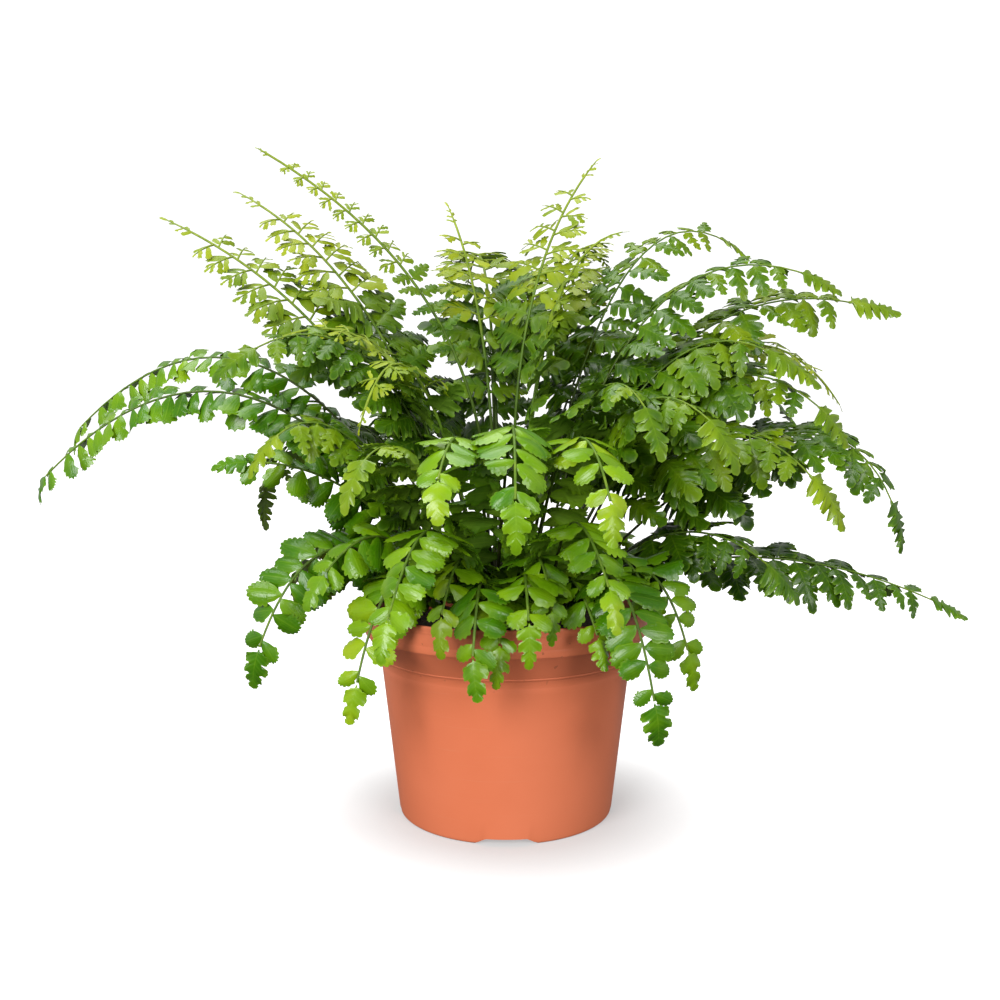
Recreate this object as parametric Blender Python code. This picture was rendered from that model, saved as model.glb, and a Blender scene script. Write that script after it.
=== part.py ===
"""A mother fern in a plastic nursery pot: pot, potting soil, rhizome and arching fronds.

The frame is the pot's: +Z up, the origin on the floor under the pot's axis, the front of the plant at -Y.
Fronds are spaced round the rhizome in three rings. Each one is a tapering stalk and midrib, flat above and
keeled below, from which lobed blades grow out sideways as one body. A blade that would cross another frond is
bent clear of it, made smaller, or left out.
"""

import math
from collections import namedtuple

import bmesh
import bpy
from mathutils import Matrix, Vector
from mathutils.bvhtree import BVHTree

MM = 0.001

# Pot, in millimetres
POT_HEIGHT = 108.0
RIM_RADIUS = 75.0
BAND_HEIGHT = 14.0
BAND_TAPER = 2.0
SEAM_HEIGHT = 82.0
SEAM_RADIUS = 65.0
SEAM_STEP = 0.6
BASE_RADIUS = 55.4
WALL = 1.6
FLOOR_BOTTOM = 4.0
POT_SIDES = 36
FOOT_NOTCHES = 4
NOTCH_HEIGHT = 3.0
NOTCH_HALF_WIDTHS = (15.5, 10.0)
NOTCH_SLOPE = (NOTCH_HALF_WIDTHS[0] - NOTCH_HALF_WIDTHS[1]) / NOTCH_HEIGHT
DRAIN_HOLES = 4
DRAIN_RADIUS = 5.0
DRAIN_SIDES = 10
DRAIN_RING = 34.0

# Soil and rhizome, in millimetres
FIT_GAP = 0.35
SOIL_CROWN = 100.0
SOIL_SIDES = 28
STALK_HOLE_DEPTH = 9.0
RHIZOME_RADIUS = 7.0
RHIZOME_DEPTH = 9.0
RHIZOME_SIDES = 10

# Fronds, in millimetres
RING_RADII = (13.0, 23.0, 34.0)
SHOULDER_AT = 0.55
STALK_HALF = 1.15
TIP_HALF = 0.5
BLADE_THICKNESS = 0.7
CLEARANCE = 0.45
CURVE_SAMPLES = 60

GREENS = {
    "mature": (0.055, 0.2, 0.025, 1.0),
    "young": (0.27, 0.5, 0.04, 1.0),
    "leaflet": (0.12, 0.36, 0.03, 1.0),
}
TERRACOTTA = (0.72, 0.22, 0.1, 1.0)
PEAT = (0.035, 0.02, 0.012, 1.0)
ROOTSTOCK = (0.06, 0.03, 0.015, 1.0)

# What one habit of frond has: where its blades start, their half width as a share of their length, how
# much they droop along it, how much they fold down across it, how far they are lifted, in degrees, how much
# shorter the last pair is than the first, how long the blade at the tip is, as a share of the longest, and
# how far they turn from the frond's own slope towards the level.
Style = namedtuple("Style", "start width droop fold pitch taper end level")

STYLES = {
    "mature": Style(0.36, 0.42, 0.5, 0.14, -8.0, 0.55, 0.8, 0.35),
    "young": Style(0.5, 0.3, 0.6, -0.2, 10.0, 0.6, 0.6, 0.35),
    "leaflet": Style(0.16, 0.4, 0.5, 0.1, -8.0, 0.35, 1.1, 0.0),
}
# A pinna gets one pair of lobes, and then two, from these lengths on.
LOBE_LENGTHS = (22.0, 44.0)
NOTCH_HALF = 0.9
# A blade's left side is a little shorter than its right one, as real pinnae aren't even.
LEFT_SIDE_SHARE = 0.93
# How far the pinnae lean towards the frond's tip, in degrees.
LEAN = 18.0
ROOT_LENGTH = 2.0
LAST_PAIR_TO_END = 12.0
# What is tried, in this order, to keep a blade clear of its neighbours: its size, and its extra lift.
TRIALS = [(size, pitch) for size in (1.0, 0.78, 0.58) for pitch in (0.0, 18.0, -18.0, 36.0, -36.0)]

Frond = namedtuple("Frond", "ring azimuth reach tip out crest kind pairs pinna roll")

# Each frond's place and habit. azimuth is in degrees from +X, so that -90 is the front. reach and tip are
# how far out and how high its tip is, and out and crest the same for the shoulder of its arch. pairs is
# the number of pairs of pinnae, pinna the length of the longest, and roll how far the blade turns about
# its midrib, in degrees.
FRONDS = (
    # young fronds, upright, above the left
    Frond(0, 189, 124, 336, 34, 252, "young", 7, 14, -55),
    Frond(0, 168, 149, 326, 72, 255, "young", 6, 36, -35),
    Frond(1, 180, 176, 306, 88, 240, "young", 6, 36, -40),
    Frond(1, 196, 120, 240, 60, 232, "young", 4, 30, -20),
    # left, in tiers
    Frond(2, 174, 240, 189, 138, 234, "leaflet", 6, 19, -32),
    Frond(1, 183, 244, 163, 142, 217, "leaflet", 6, 20, -34),
    Frond(2, 199, 149, 181, 88, 172, "leaflet", 5, 24, -58),
    Frond(1, 208, 136, 176, 92, 199, "mature", 4, 34, -28),
    Frond(2, 207, 136, 77, 100, 139, "leaflet", 4, 25, -50),
    Frond(2, 218, 118, 116, 80, 148, "leaflet", 4, 25, -30),
    Frond(2, 229, 108, 66, 82, 126, "leaflet", 4, 23, -30),
    # front, hanging over the rim
    Frond(0, 222, 92, 196, 60, 226, "young", 4, 28, -10),
    Frond(1, 238, 130, 168, 88, 189, "mature", 4, 32, 0),
    Frond(2, 247, 136, 104, 92, 154, "leaflet", 4, 23, 0),
    Frond(0, 259, 152, 166, 98, 194, "leaflet", 4, 21, 0),
    Frond(2, 261, 102, 82, 80, 127, "leaflet", 4, 23, 0),
    Frond(1, 271, 155, 156, 102, 200, "leaflet", 4, 23, 0),
    Frond(2, 276, 103, 98, 80, 133, "leaflet", 4, 23, 0),
    Frond(1, 287, 147, 154, 100, 195, "leaflet", 5, 23, 0),
    Frond(2, 290, 134, 118, 90, 158, "leaflet", 4, 23, 0),
    Frond(0, 303, 122, 188, 76, 216, "mature", 4, 33, 0),
    Frond(2, 307, 113, 60, 88, 126, "leaflet", 5, 23, 25),
    Frond(2, 325, 108, 77, 84, 130, "leaflet", 4, 23, 30),
    # right, in tiers
    Frond(1, 316, 140, 184, 84, 210, "mature", 4, 35, 20),
    Frond(1, 340, 168, 154, 108, 196, "mature", 4, 37, 32),
    Frond(2, 343, 150, 114, 98, 148, "mature", 4, 35, 32),
    Frond(1, 352, 200, 136, 150, 196, "mature", 5, 37, 38),
    Frond(2, 1, 246, 98, 140, 131, "mature", 6, 33, 28),
    Frond(0, 343, 152, 218, 88, 234, "mature", 4, 38, 32),
    Frond(0, 357, 200, 254, 100, 248, "mature", 5, 37, 38),
    Frond(1, 8, 184, 208, 116, 238, "young", 4, 36, 28),
    Frond(0, 18, 143, 290, 72, 286, "mature", 4, 30, 35),
    Frond(0, 335, 66, 294, 26, 256, "young", 5, 36, 20),
    Frond(0, 30, 58, 343, 14, 258, "young", 6, 32, 20),
    # back, in tiers
    Frond(1, 22, 190, 186, 116, 228, "mature", 4, 38, 20),
    Frond(2, 46, 126, 90, 90, 137, "leaflet", 3, 23, 0),
    Frond(1, 52, 165, 226, 88, 250, "mature", 4, 36, 0),
    Frond(0, 58, 120, 292, 60, 282, "young", 4, 40, 0),
    Frond(1, 70, 164, 146, 106, 206, "mature", 4, 38, 0),
    Frond(2, 84, 122, 82, 88, 132, "leaflet", 3, 23, 0),
    Frond(1, 96, 154, 222, 88, 246, "mature", 4, 36, 0),
    Frond(0, 100, 140, 286, 64, 284, "young", 4, 40, 0),
    Frond(1, 118, 174, 148, 110, 210, "mature", 4, 38, 0),
    Frond(0, 122, 62, 324, 22, 242, "young", 5, 32, 0),
    Frond(2, 122, 124, 88, 88, 136, "leaflet", 3, 23, 0),
    Frond(0, 142, 148, 236, 82, 256, "mature", 4, 36, 0),
    Frond(1, 148, 182, 142, 112, 204, "mature", 4, 36, 0),
    Frond(2, 160, 132, 104, 90, 144, "leaflet", 3, 23, 0),
    # short ones inside the front
    Frond(1, 250, 93, 100, 64, 138, "leaflet", 4, 21, 0),
    Frond(2, 268, 92, 88, 66, 124, "leaflet", 4, 21, 0),
    Frond(1, 283, 95, 104, 64, 140, "leaflet", 4, 21, 0),
    Frond(2, 299, 94, 90, 68, 126, "leaflet", 4, 21, 0),
    Frond(1, 318, 98, 104, 68, 140, "leaflet", 4, 21, 10),
    # between the tiers
    Frond(0, 350, 168, 264, 82, 264, "mature", 4, 32, 35),
    Frond(1, 346, 172, 190, 104, 222, "mature", 4, 34, 35),
    Frond(0, 202, 146, 222, 78, 236, "mature", 4, 32, -35),
)


def clear_scene():
    for obj in list(bpy.data.objects):
        bpy.data.objects.remove(obj, do_unlink=True)


def plain_material(name, color, roughness):
    material = bpy.data.materials.new(name)
    material.use_nodes = True
    shader = material.node_tree.nodes["Principled BSDF"]
    shader.inputs["Base Color"].default_value = color
    shader.inputs["Roughness"].default_value = roughness
    shader.inputs["Metallic"].default_value = 0.0
    return material


def new_object(name, mesh, material):
    obj = bpy.data.objects.new(name, mesh)
    bpy.context.scene.collection.objects.link(obj)
    if material:
        mesh.materials.append(material)
    return obj


def finished_mesh(bm, name):
    bmesh.ops.recalc_face_normals(bm, faces=bm.faces)
    if bm.calc_volume(signed=True) < 0.0:
        bmesh.ops.reverse_faces(bm, faces=bm.faces)
    mesh = bpy.data.meshes.new(name)
    bm.to_mesh(mesh)
    bm.free()
    return mesh


def turned_mesh(name, profile, sides):
    """A profile of (radius, height) points, from the axis round to the axis, spun into a closed solid."""
    bm = bmesh.new()
    rings = []
    for radius, height in profile:
        if radius == 0.0:
            rings.append([bm.verts.new((0.0, 0.0, height * MM))])
            continue
        turns = [math.tau * k / sides for k in range(sides)]
        ring = [(radius * math.cos(a) * MM, radius * math.sin(a) * MM, height * MM) for a in turns]
        rings.append([bm.verts.new(point) for point in ring])
    for low, high in zip(rings, rings[1:]):
        for k in range(sides):
            corners = [low[k % len(low)], low[(k + 1) % len(low)]]
            corners += [high[(k + 1) % len(high)], high[k % len(high)]]
            unique = list(dict.fromkeys(corners))
            if len(unique) > 2:
                bm.faces.new(unique)
    return finished_mesh(bm, name)


def prism(bm, sides, radius, depth, place):
    """Adds an upright prism of this many sides, in millimetres, with its middle at place."""
    bmesh.ops.create_cone(
        bm,
        cap_ends=True,
        segments=sides,
        radius1=radius * MM,
        radius2=radius * MM,
        depth=depth * MM,
        matrix=place,
    )


def cut(obj, cutter):
    """Takes the cutter out of the object, and then removes the cutter."""
    boolean = obj.modifiers.new("cut", "BOOLEAN")
    boolean.operation = "DIFFERENCE"
    boolean.object = cutter
    graph = bpy.context.evaluated_depsgraph_get()
    mesh = bpy.data.meshes.new_from_object(obj.evaluated_get(graph))
    obj.modifiers.remove(boolean)
    obj.data = mesh
    bpy.data.objects.remove(cutter, do_unlink=True)


# Pot


def pot_outline():
    """The pot's outer side, from the foot up to the rim: body, seam, shoulder and stacking band."""
    return [
        (BASE_RADIUS - 1.2, 0.0),
        (BASE_RADIUS, 1.6),
        (SEAM_RADIUS - SEAM_STEP, SEAM_HEIGHT - 0.6),
        (SEAM_RADIUS, SEAM_HEIGHT - 0.2),
        (SEAM_RADIUS + SEAM_STEP, SEAM_HEIGHT + 1.2),
        (RIM_RADIUS - BAND_TAPER, POT_HEIGHT - BAND_HEIGHT),
        (RIM_RADIUS, POT_HEIGHT - 0.8),
        (RIM_RADIUS - 0.5, POT_HEIGHT),
    ]


def pot_inside():
    """The pot's inner side, from the rim down to the floor."""
    return [
        (RIM_RADIUS - WALL, POT_HEIGHT),
        (RIM_RADIUS - BAND_TAPER - WALL, POT_HEIGHT - BAND_HEIGHT + 1.0),
        (SEAM_RADIUS + SEAM_STEP - WALL, SEAM_HEIGHT + 2.0),
        (BASE_RADIUS + 0.4 - WALL, FLOOR_BOTTOM + WALL),
    ]


def notch_cutters():
    """The four trapezoid notches in the foot ring, which let water out, and the drain holes in the floor."""
    bm = bmesh.new()
    bottom, top = NOTCH_HALF_WIDTHS
    below = 2.0
    low = bottom + below * NOTCH_SLOPE
    section = [(-low, -below), (low, -below), (top, NOTCH_HEIGHT), (-top, NOTCH_HEIGHT)]
    for k in range(FOOT_NOTCHES):
        turn = Matrix.Rotation(math.tau * k / FOOT_NOTCHES, 4, "Z")
        ends = []
        for depth in (BASE_RADIUS - 12.0, BASE_RADIUS + 6.0):
            ring = [turn @ Vector((x, -depth, z)) * MM for x, z in section]
            ends.append([bm.verts.new(point) for point in ring])
        near, far = ends
        bm.faces.new(near)
        bm.faces.new(far)
        for i in range(4):
            bm.faces.new((near[i], near[(i + 1) % 4], far[(i + 1) % 4], far[i]))
    for k in range(DRAIN_HOLES):
        turn = math.tau * (k + 0.5) / DRAIN_HOLES
        place = Vector((DRAIN_RING * math.cos(turn), DRAIN_RING * math.sin(turn), FLOOR_BOTTOM)) * MM
        prism(bm, DRAIN_SIDES, DRAIN_RADIUS, 5.0 * WALL, Matrix.Translation(place))
    return new_object("notch_cutters", finished_mesh(bm, "notch_cutters"), None)


def make_pot():
    foot = [(0.0, FLOOR_BOTTOM), (BASE_RADIUS - 4.2, FLOOR_BOTTOM), (BASE_RADIUS - 3.6, 0.0)]
    profile = foot + pot_outline() + pot_inside() + [(0.0, FLOOR_BOTTOM + WALL)]
    mesh = turned_mesh("pot", profile, POT_SIDES)
    pot = new_object("pot", mesh, plain_material("pot_plastic", TERRACOTTA, 0.42))
    cut(pot, notch_cutters())
    pot.data.shade_smooth()
    pot.data.set_sharp_from_angle(angle=math.radians(28))
    return pot


# Soil and rhizome


def make_soil(feet):
    """Potting soil that fills the pot to below its rim, with a plain hole for each stalk and the rhizome."""
    flat = math.cos(math.pi / POT_SIDES)
    wall = [(radius * flat - 1.4 * FIT_GAP, height) for radius, height in reversed(pot_inside())]
    (bottom_radius, floor), (neck_radius, neck), (top_radius, top) = wall[:3]
    profile = [
        (0.0, floor + FIT_GAP),
        (bottom_radius, floor + FIT_GAP),
        (neck_radius, neck),
        (top_radius, top),
        (RING_RADII[2] + 6.0, SOIL_CROWN),
        (0.0, SOIL_CROWN),
    ]
    mesh = turned_mesh("soil", profile, SOIL_SIDES)
    soil = new_object("soil", mesh, plain_material("potting_soil", PEAT, 0.95))
    bm = bmesh.new()
    for foot, azimuth in feet:
        keel = Matrix.Rotation(azimuth - math.pi / 2.0, 4, "Z")
        place = Matrix.Translation(foot) @ keel
        prism(bm, 3, 2.0 * STALK_HALF + FIT_GAP, 2.0 * (STALK_HOLE_DEPTH + FIT_GAP), place)
    place = Matrix.Translation((0.0, 0.0, SOIL_CROWN * MM))
    prism(bm, RHIZOME_SIDES, RHIZOME_RADIUS + FIT_GAP, 2.0 * (RHIZOME_DEPTH + FIT_GAP), place)
    holes = new_object("soil_holes", finished_mesh(bm, "soil_holes"), None)
    cut(soil, holes)
    return soil


def make_rhizome():
    """The knobbly top of the rootstock, standing a little out of the soil among the stalks."""
    low = SOIL_CROWN - RHIZOME_DEPTH
    profile = [
        (0.0, low),
        (RHIZOME_RADIUS - 1.5, low),
        (RHIZOME_RADIUS, low + 3.0),
        (RHIZOME_RADIUS, SOIL_CROWN),
        (RHIZOME_RADIUS - 2.2, SOIL_CROWN + 4.0),
        (RHIZOME_RADIUS - 4.8, SOIL_CROWN + 6.0),
        (0.0, SOIL_CROWN + 5.0),
    ]
    mesh = turned_mesh("rhizome", profile, RHIZOME_SIDES)
    for vertex in mesh.vertices:
        turn = math.atan2(vertex.co.y, vertex.co.x)
        knob = 1.0 - 0.13 * (0.5 + 0.5 * math.sin(5.0 * turn + vertex.co.z / MM))
        vertex.co.x *= knob
        vertex.co.y *= knob
    return new_object("rhizome", mesh, plain_material("rootstock", ROOTSTOCK, 0.9))


# Frond stalks


def ring_feet():
    """Where each frond's stalk leaves the soil: evenly round its ring, in the order of the azimuths."""
    feet = {}
    for ring, radius in enumerate(RING_RADII):
        members = [k for k, frond in enumerate(FRONDS) if frond.ring == ring]
        members.sort(key=lambda k: FRONDS[k].azimuth % 360)
        step = math.tau / len(members)
        turns = [math.radians(FRONDS[k].azimuth % 360) for k in members]
        shift = sum(turn - i * step for i, turn in enumerate(turns)) / len(members)
        for i, k in enumerate(members):
            turn = shift + i * step
            feet[k] = Vector((radius * math.cos(turn), radius * math.sin(turn), SOIL_CROWN)) * MM
    return feet


class Midrib:
    """A frond's stalk and midrib: a parabola from its foot over its shoulder to its tip."""

    def __init__(self, frond, foot):
        self.turn = math.radians(frond.azimuth)
        out = Vector((math.cos(self.turn), math.sin(self.turn), 0.0))
        shoulder = (out * frond.out + Vector((0.0, 0.0, frond.crest))) * MM
        tip = (out * frond.reach + Vector((0.0, 0.0, frond.tip))) * MM
        t = SHOULDER_AT
        pull = (shoulder - foot * (1.0 - t) ** 2 - tip * t**2) / (2.0 * t * (1.0 - t))
        self.across = Vector((out.y, -out.x, 0.0))
        self.foot = foot
        self.roll = math.radians(frond.roll)
        self.points = []
        for i in range(CURVE_SAMPLES + 1):
            s = i / CURVE_SAMPLES
            self.points.append(foot * (1.0 - s) ** 2 + pull * (2.0 * s * (1.0 - s)) + tip * s**2)
        self.lengths = [0.0]
        for a, b in zip(self.points, self.points[1:]):
            self.lengths.append(self.lengths[-1] + (b - a).length)
        self.length = self.lengths[-1]

    def at(self, share):
        """The point, the forward direction, the right and the upper side at a share of the length."""
        goal = share * self.length
        i = 0
        while i < CURVE_SAMPLES - 1 and self.lengths[i + 1] < goal:
            i += 1
        part = (goal - self.lengths[i]) / (self.lengths[i + 1] - self.lengths[i])
        point = self.points[i].lerp(self.points[i + 1], part)
        before = self.points[max(i - 1, 0)]
        after = self.points[min(i + 2, CURVE_SAMPLES)]
        forward = (after - before).normalized()
        side = (self.across - forward * self.across.dot(forward)).normalized()
        side = Matrix.Rotation(self.roll * min(1.0, 2.0 * share), 3, forward) @ side
        return point, forward, side, side.cross(forward)

    def corners(self, share):
        """The stalk's three-sided section at a share of the length."""
        point, _, side, up = self.at(share)
        half = (STALK_HALF + (TIP_HALF - STALK_HALF) * share) * MM
        return keeled(point, side * half, up * half)

    def foot_corners(self, height):
        """The level section of the stretch that stands in the soil, at this height."""
        point = Vector((self.foot.x, self.foot.y, height))
        inward = Matrix.Rotation(self.turn, 3, "Z") @ Vector((-1.0, 0.0, 0.0))
        side = Vector((-inward.y, inward.x, 0.0))
        return keeled(point, side * STALK_HALF * MM, inward * STALK_HALF * MM)


def keeled(middle, side, up):
    """The upper right, upper left and lowest corner of a section that is flat above."""
    return [middle + side + up * 0.6, middle - side + up * 0.6, middle - up]


# Blades


def lobed_side(kind, length, width):
    """One side of a pinna's outline as (along, across) points, with its lobes notched to the rib."""
    if kind == "leaflet":
        return [(0.3 * length, 0.6 * width), (0.7 * length, width)]
    lobes = sum(length > least * MM for least in LOBE_LENGTHS)
    step = length / (lobes + 1.0)
    side = []
    for k in range(lobes):
        side.append(((k + 0.85) * step, width * (1.0 - 0.3 * k / lobes)))
        side.append(((k + 1.0) * step, NOTCH_HALF * MM))
    side.append(((lobes + 0.6) * step, 0.45 * width))
    return side


def blade_faces(count):
    """Faces of a blade whose upper and lower outlines have this many points, split alike above and below.

    The outlines run from the right of the root round the tip to the root's left, and the blade is left
    open at its root.
    """
    half = (count - 3) // 2
    upper = []
    for k in range(half):
        upper.append((k, k + 1, count - 2 - k))
        upper.append((k, count - 2 - k, count - 1 - k))
    upper.append((half, half + 1, half + 2))
    lower = [tuple(count + i for i in reversed(face)) for face in upper]
    walls = [(i + 1, i, count + i, count + i + 1) for i in range(count - 1)]
    return upper + lower + walls


def blade_points(root, frame, side_points, length, style, extra=0.0):
    """The upper and then the lower outline of a blade that grows out of its root's four corners.

    root is the upper right, upper left, lower left and lower right corner, and frame is the blade's
    forward, right and upper direction. extra grows it on all sides, to test its clearance.
    """
    forward, side, up = frame
    middle = (root[0] + root[1] + root[2] + root[3]) / 4.0
    half = BLADE_THICKNESS * MM / 2.0 + extra
    right = [(along, across + extra) for along, across in side_points]
    left = [(along * LEFT_SIDE_SHARE, -across) for along, across in reversed(right)]
    upper, lower = [root[0]], [root[3]]
    for along, across in right + [(length + extra, 0.0)] + left:
        fall = 0.5 * style.droop / length * along**2 + style.fold * abs(across)
        point = middle + forward * along + side * across - up * fall
        normal = (up + forward * (style.droop * along / length)).normalized()
        upper.append(point + normal * half)
        lower.append(point - normal * half)
    return upper + [root[1]] + lower + [root[2]]


class Thicket:
    """What stands already, as search trees, so that each new piece can be kept clear of it."""

    def __init__(self):
        self.pieces = []

    def add(self, points, faces, owner):
        self.pieces.append((owner, *box_of(points), BVHTree.FromPolygons(points, faces)))

    def is_clear(self, points, faces, skipped):
        low, high = box_of(points)
        tree = None
        for owner, other_low, other_high, other in self.pieces:
            if owner in skipped:
                continue
            if any(low[i] > other_high[i] or high[i] < other_low[i] for i in range(3)):
                continue
            tree = tree or BVHTree.FromPolygons(points, faces)
            if tree.overlap(other):
                return False
        return True


def box_of(points):
    low = [min(point[i] for point in points) for i in range(3)]
    high = [max(point[i] for point in points) for i in range(3)]
    return low, high


# Fronds


class Growth:
    """A frond as it is put together: its midrib's sections, and the blades that it has room for."""

    def __init__(self, frond, number, midrib):
        self.frond = frond
        self.number = number
        self.midrib = midrib
        self.style = STYLES[frond.kind]
        self.blades = {}
        self.end_length = self.style.end * frond.pinna * MM
        end = 1.0 - self.end_length / midrib.length
        last_pair = end - LAST_PAIR_TO_END * MM / midrib.length
        self.shares = [self.style.start * 0.3, self.style.start * 0.65]
        self.roots = []
        half_root = ROOT_LENGTH * MM / 2.0 / midrib.length
        for k in range(frond.pairs):
            reached = (k / (frond.pairs - 1)) ** 0.9
            share = self.style.start + (last_pair - self.style.start) * reached
            self.roots.append(len(self.shares) + 2)
            self.shares += [share - half_root, share + half_root]
        self.shares.append(end)
        self.spacing = midrib.length * (last_pair - self.style.start) / (frond.pairs - 1)

    def sections(self):
        """The sections of the stalk and midrib, from the bottom of its hole in the soil to its tip."""
        low = (SOIL_CROWN - STALK_HOLE_DEPTH) * MM
        top = (SOIL_CROWN + 1.0) * MM
        rings = [self.midrib.foot_corners(low), self.midrib.foot_corners(top)]
        return rings + [self.midrib.corners(share) for share in self.shares]

    def bar(self):
        """The stalk and midrib alone, as points and faces."""
        rings = self.sections()
        points = [corner for ring in rings for corner in ring]
        faces = [(0, 1, 2), tuple(len(points) - 1 - i for i in range(3))]
        for i in range(len(rings) - 1):
            faces += [segment_face(i, j) for j in range(3)]
        return points, faces

    def root_corners(self, spot):
        """Indices of a blade's root corners among the sections' corners. spot is (pair, side)."""
        pair, hand = spot
        if hand == "end":
            last = 3 * (len(self.shares) + 1)
            return last, last + 1, last + 2, last + 2
        near = 3 * self.roots[pair]
        if hand == "right":
            return near, near + 3, near + 5, near + 2
        return near + 4, near + 1, near + 2, near + 5

    def size(self, spot):
        """Length and half width of the blade at this spot: longest a little above the frond's base."""
        pair, hand = spot
        frond = self.frond
        if hand == "end":
            return self.end_length, self.end_length * self.style.width
        along = pair / (frond.pairs - 1)
        length = frond.pinna * MM * (1.0 - self.style.taper * along**1.3)
        if pair == 0:
            length *= 0.86
        return length, min(length * self.style.width, 0.47 * self.spacing)

    def frame(self, spot, pitch):
        """Forward, right and upper direction of the blade at this spot, lifted by pitch."""
        pair, hand = spot
        if hand == "end":
            return self.midrib.at(self.shares[-1])[1:]
        near, far = self.shares[self.roots[pair] - 2], self.shares[self.roots[pair] - 1]
        _, forward, side, up = self.midrib.at((near + far) / 2.0)
        sign = 1.0 if hand == "right" else -1.0
        lean = math.radians(LEAN)
        ahead = side * (sign * math.cos(lean)) + forward * math.sin(lean)
        lift = Matrix.Rotation(math.radians(pitch) * sign, 3, -forward)
        ahead = lift @ ahead
        level = Vector((0.0, 0.0, 1.0)) - ahead * ahead.z
        up = (lift @ up).lerp(level.normalized(), self.style.level).normalized()
        return ahead, ahead.cross(up), up


def segment_face(i, j):
    """Side j of the midrib between its sections i and i + 1."""
    low, high = 3 * i, 3 * i + 3
    return low + j, high + j, high + (j + 1) % 3, low + (j + 1) % 3


def add_blade(growth, spot, thicket):
    """Grows the blade at this spot, bent or shortened if it has to be, or leaves it out."""
    points, _ = growth.bar()
    root = [points[i] for i in growth.root_corners(spot)]
    full, width = growth.size(spot)
    for size, pitch in TRIALS:
        length = full * size
        side_points = lobed_side(growth.frond.kind, length, width * size)
        frame = growth.frame(spot, growth.style.pitch + pitch)
        faces = blade_faces(2 * len(side_points) + 3)
        swollen = blade_points(root, frame, side_points, length, growth.style, CLEARANCE * MM)
        points = blade_points(root, frame, side_points, length, growth.style)
        if is_tangled(growth, spot, points):
            continue
        if thicket.is_clear(swollen, faces, (bar_of(growth.number),)):
            growth.blades[spot] = points
            thicket.add(points, faces, growth.number)
            return


def fused(growth, spot, outline, first):
    """A blade's faces, its corners numbered from first, but the root's four are the midrib's own."""
    count = len(outline) // 2
    upper_right, upper_left, lower_left, lower_right = growth.root_corners(spot)
    moved = {0: upper_right, count - 1: upper_left, count: lower_right, 2 * count - 1: lower_left}
    faces = []
    for face in blade_faces(count):
        corners = list(dict.fromkeys(moved.get(i, first + i) for i in face))
        if len(corners) > 2:
            faces.append(tuple(corners))
    return faces


def split(faces):
    """The same faces as triangles."""
    return [(face[0], face[i], face[i + 1]) for face in faces for i in range(1, len(face) - 1)]


def is_tangled(growth, spot, outline):
    """Whether this blade would run into itself, or into the midrib that it grows from."""
    points, faces = growth.bar()
    root = frozenset(growth.root_corners(spot))
    faces = [face for face in faces if frozenset(face) != root]
    triangles = split(faces + fused(growth, spot, outline, len(points)))
    tree = BVHTree.FromPolygons(points + outline, triangles, all_triangles=True)
    return any(not set(triangles[a]) & set(triangles[b]) for a, b in tree.overlap(tree))


def bar_of(number):
    return "bar", number


def grow_fronds(feet, pot, soil, rhizome):
    """All the fronds: first every midrib, and then the blades, outermost first, where they have room."""
    thicket = Thicket()
    for obj in (pot, soil, rhizome):
        points = [vertex.co.copy() for vertex in obj.data.vertices]
        thicket.add(points, [tuple(face.vertices) for face in obj.data.polygons], obj.name)
    growths = []
    for number, frond in enumerate(FRONDS):
        growth = Growth(frond, number, Midrib(frond, feet[number]))
        thicket.add(*growth.bar(), bar_of(number))
        growths.append(growth)
    spots = [(growth, (0, "end")) for growth in growths]
    for growth in growths:
        for pair in range(growth.frond.pairs):
            spots += [(growth, (pair, "right")), (growth, (pair, "left"))]
    spots.sort(key=lambda item: -outness(*item))
    for growth, spot in spots:
        add_blade(growth, spot, thicket)
    return growths


def outness(growth, spot):
    """How far out from the pot's axis a blade's root is. The ends of the fronds come before all others."""
    if spot[1] == "end":
        return 1.0
    share = growth.shares[growth.roots[spot[0]] - 2]
    return growth.midrib.at(share)[0].xy.length


def frond_mesh(growth, name):
    points, faces = growth.bar()
    taken = {frozenset(growth.root_corners(spot)) for spot in growth.blades}
    faces = [face for face in faces if frozenset(face) not in taken]
    for spot, outline in growth.blades.items():
        faces += fused(growth, spot, outline, len(points))
        points += outline
    bm = bmesh.new()
    verts = [bm.verts.new(point) for point in points]
    for face in split(faces):
        bm.faces.new([verts[i] for i in face])
    for vert in verts:
        if not vert.link_faces:
            bm.verts.remove(vert)
    return finished_mesh(bm, name)


def main():
    clear_scene()
    feet = ring_feet()
    pot = make_pot()
    soil = make_soil([(feet[k], math.radians(frond.azimuth)) for k, frond in enumerate(FRONDS)])
    rhizome = make_rhizome()
    greens = {kind: plain_material(f"{kind}_green", color, 0.45) for kind, color in GREENS.items()}
    for growth in grow_fronds(feet, pot, soil, rhizome):
        name = f"frond_{growth.number + 1:02d}"
        new_object(name, frond_mesh(growth, name), greens[growth.frond.kind])


main()
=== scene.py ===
"""The looks of a mother fern in a plastic nursery pot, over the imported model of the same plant.

Each frond follows the midrib that its solid has, and carries many more leaflets, each one a thin closed
shell. Everything is in metres in the part's frame: +Z up, the front of the plant at -Y, the pot's axis at
the origin.
"""

from collections import defaultdict, namedtuple
from math import copysign, cos, hypot, pi, radians, sin, sqrt, tau

import bpy
import numpy as np
from mathutils import Matrix, Vector


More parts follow.
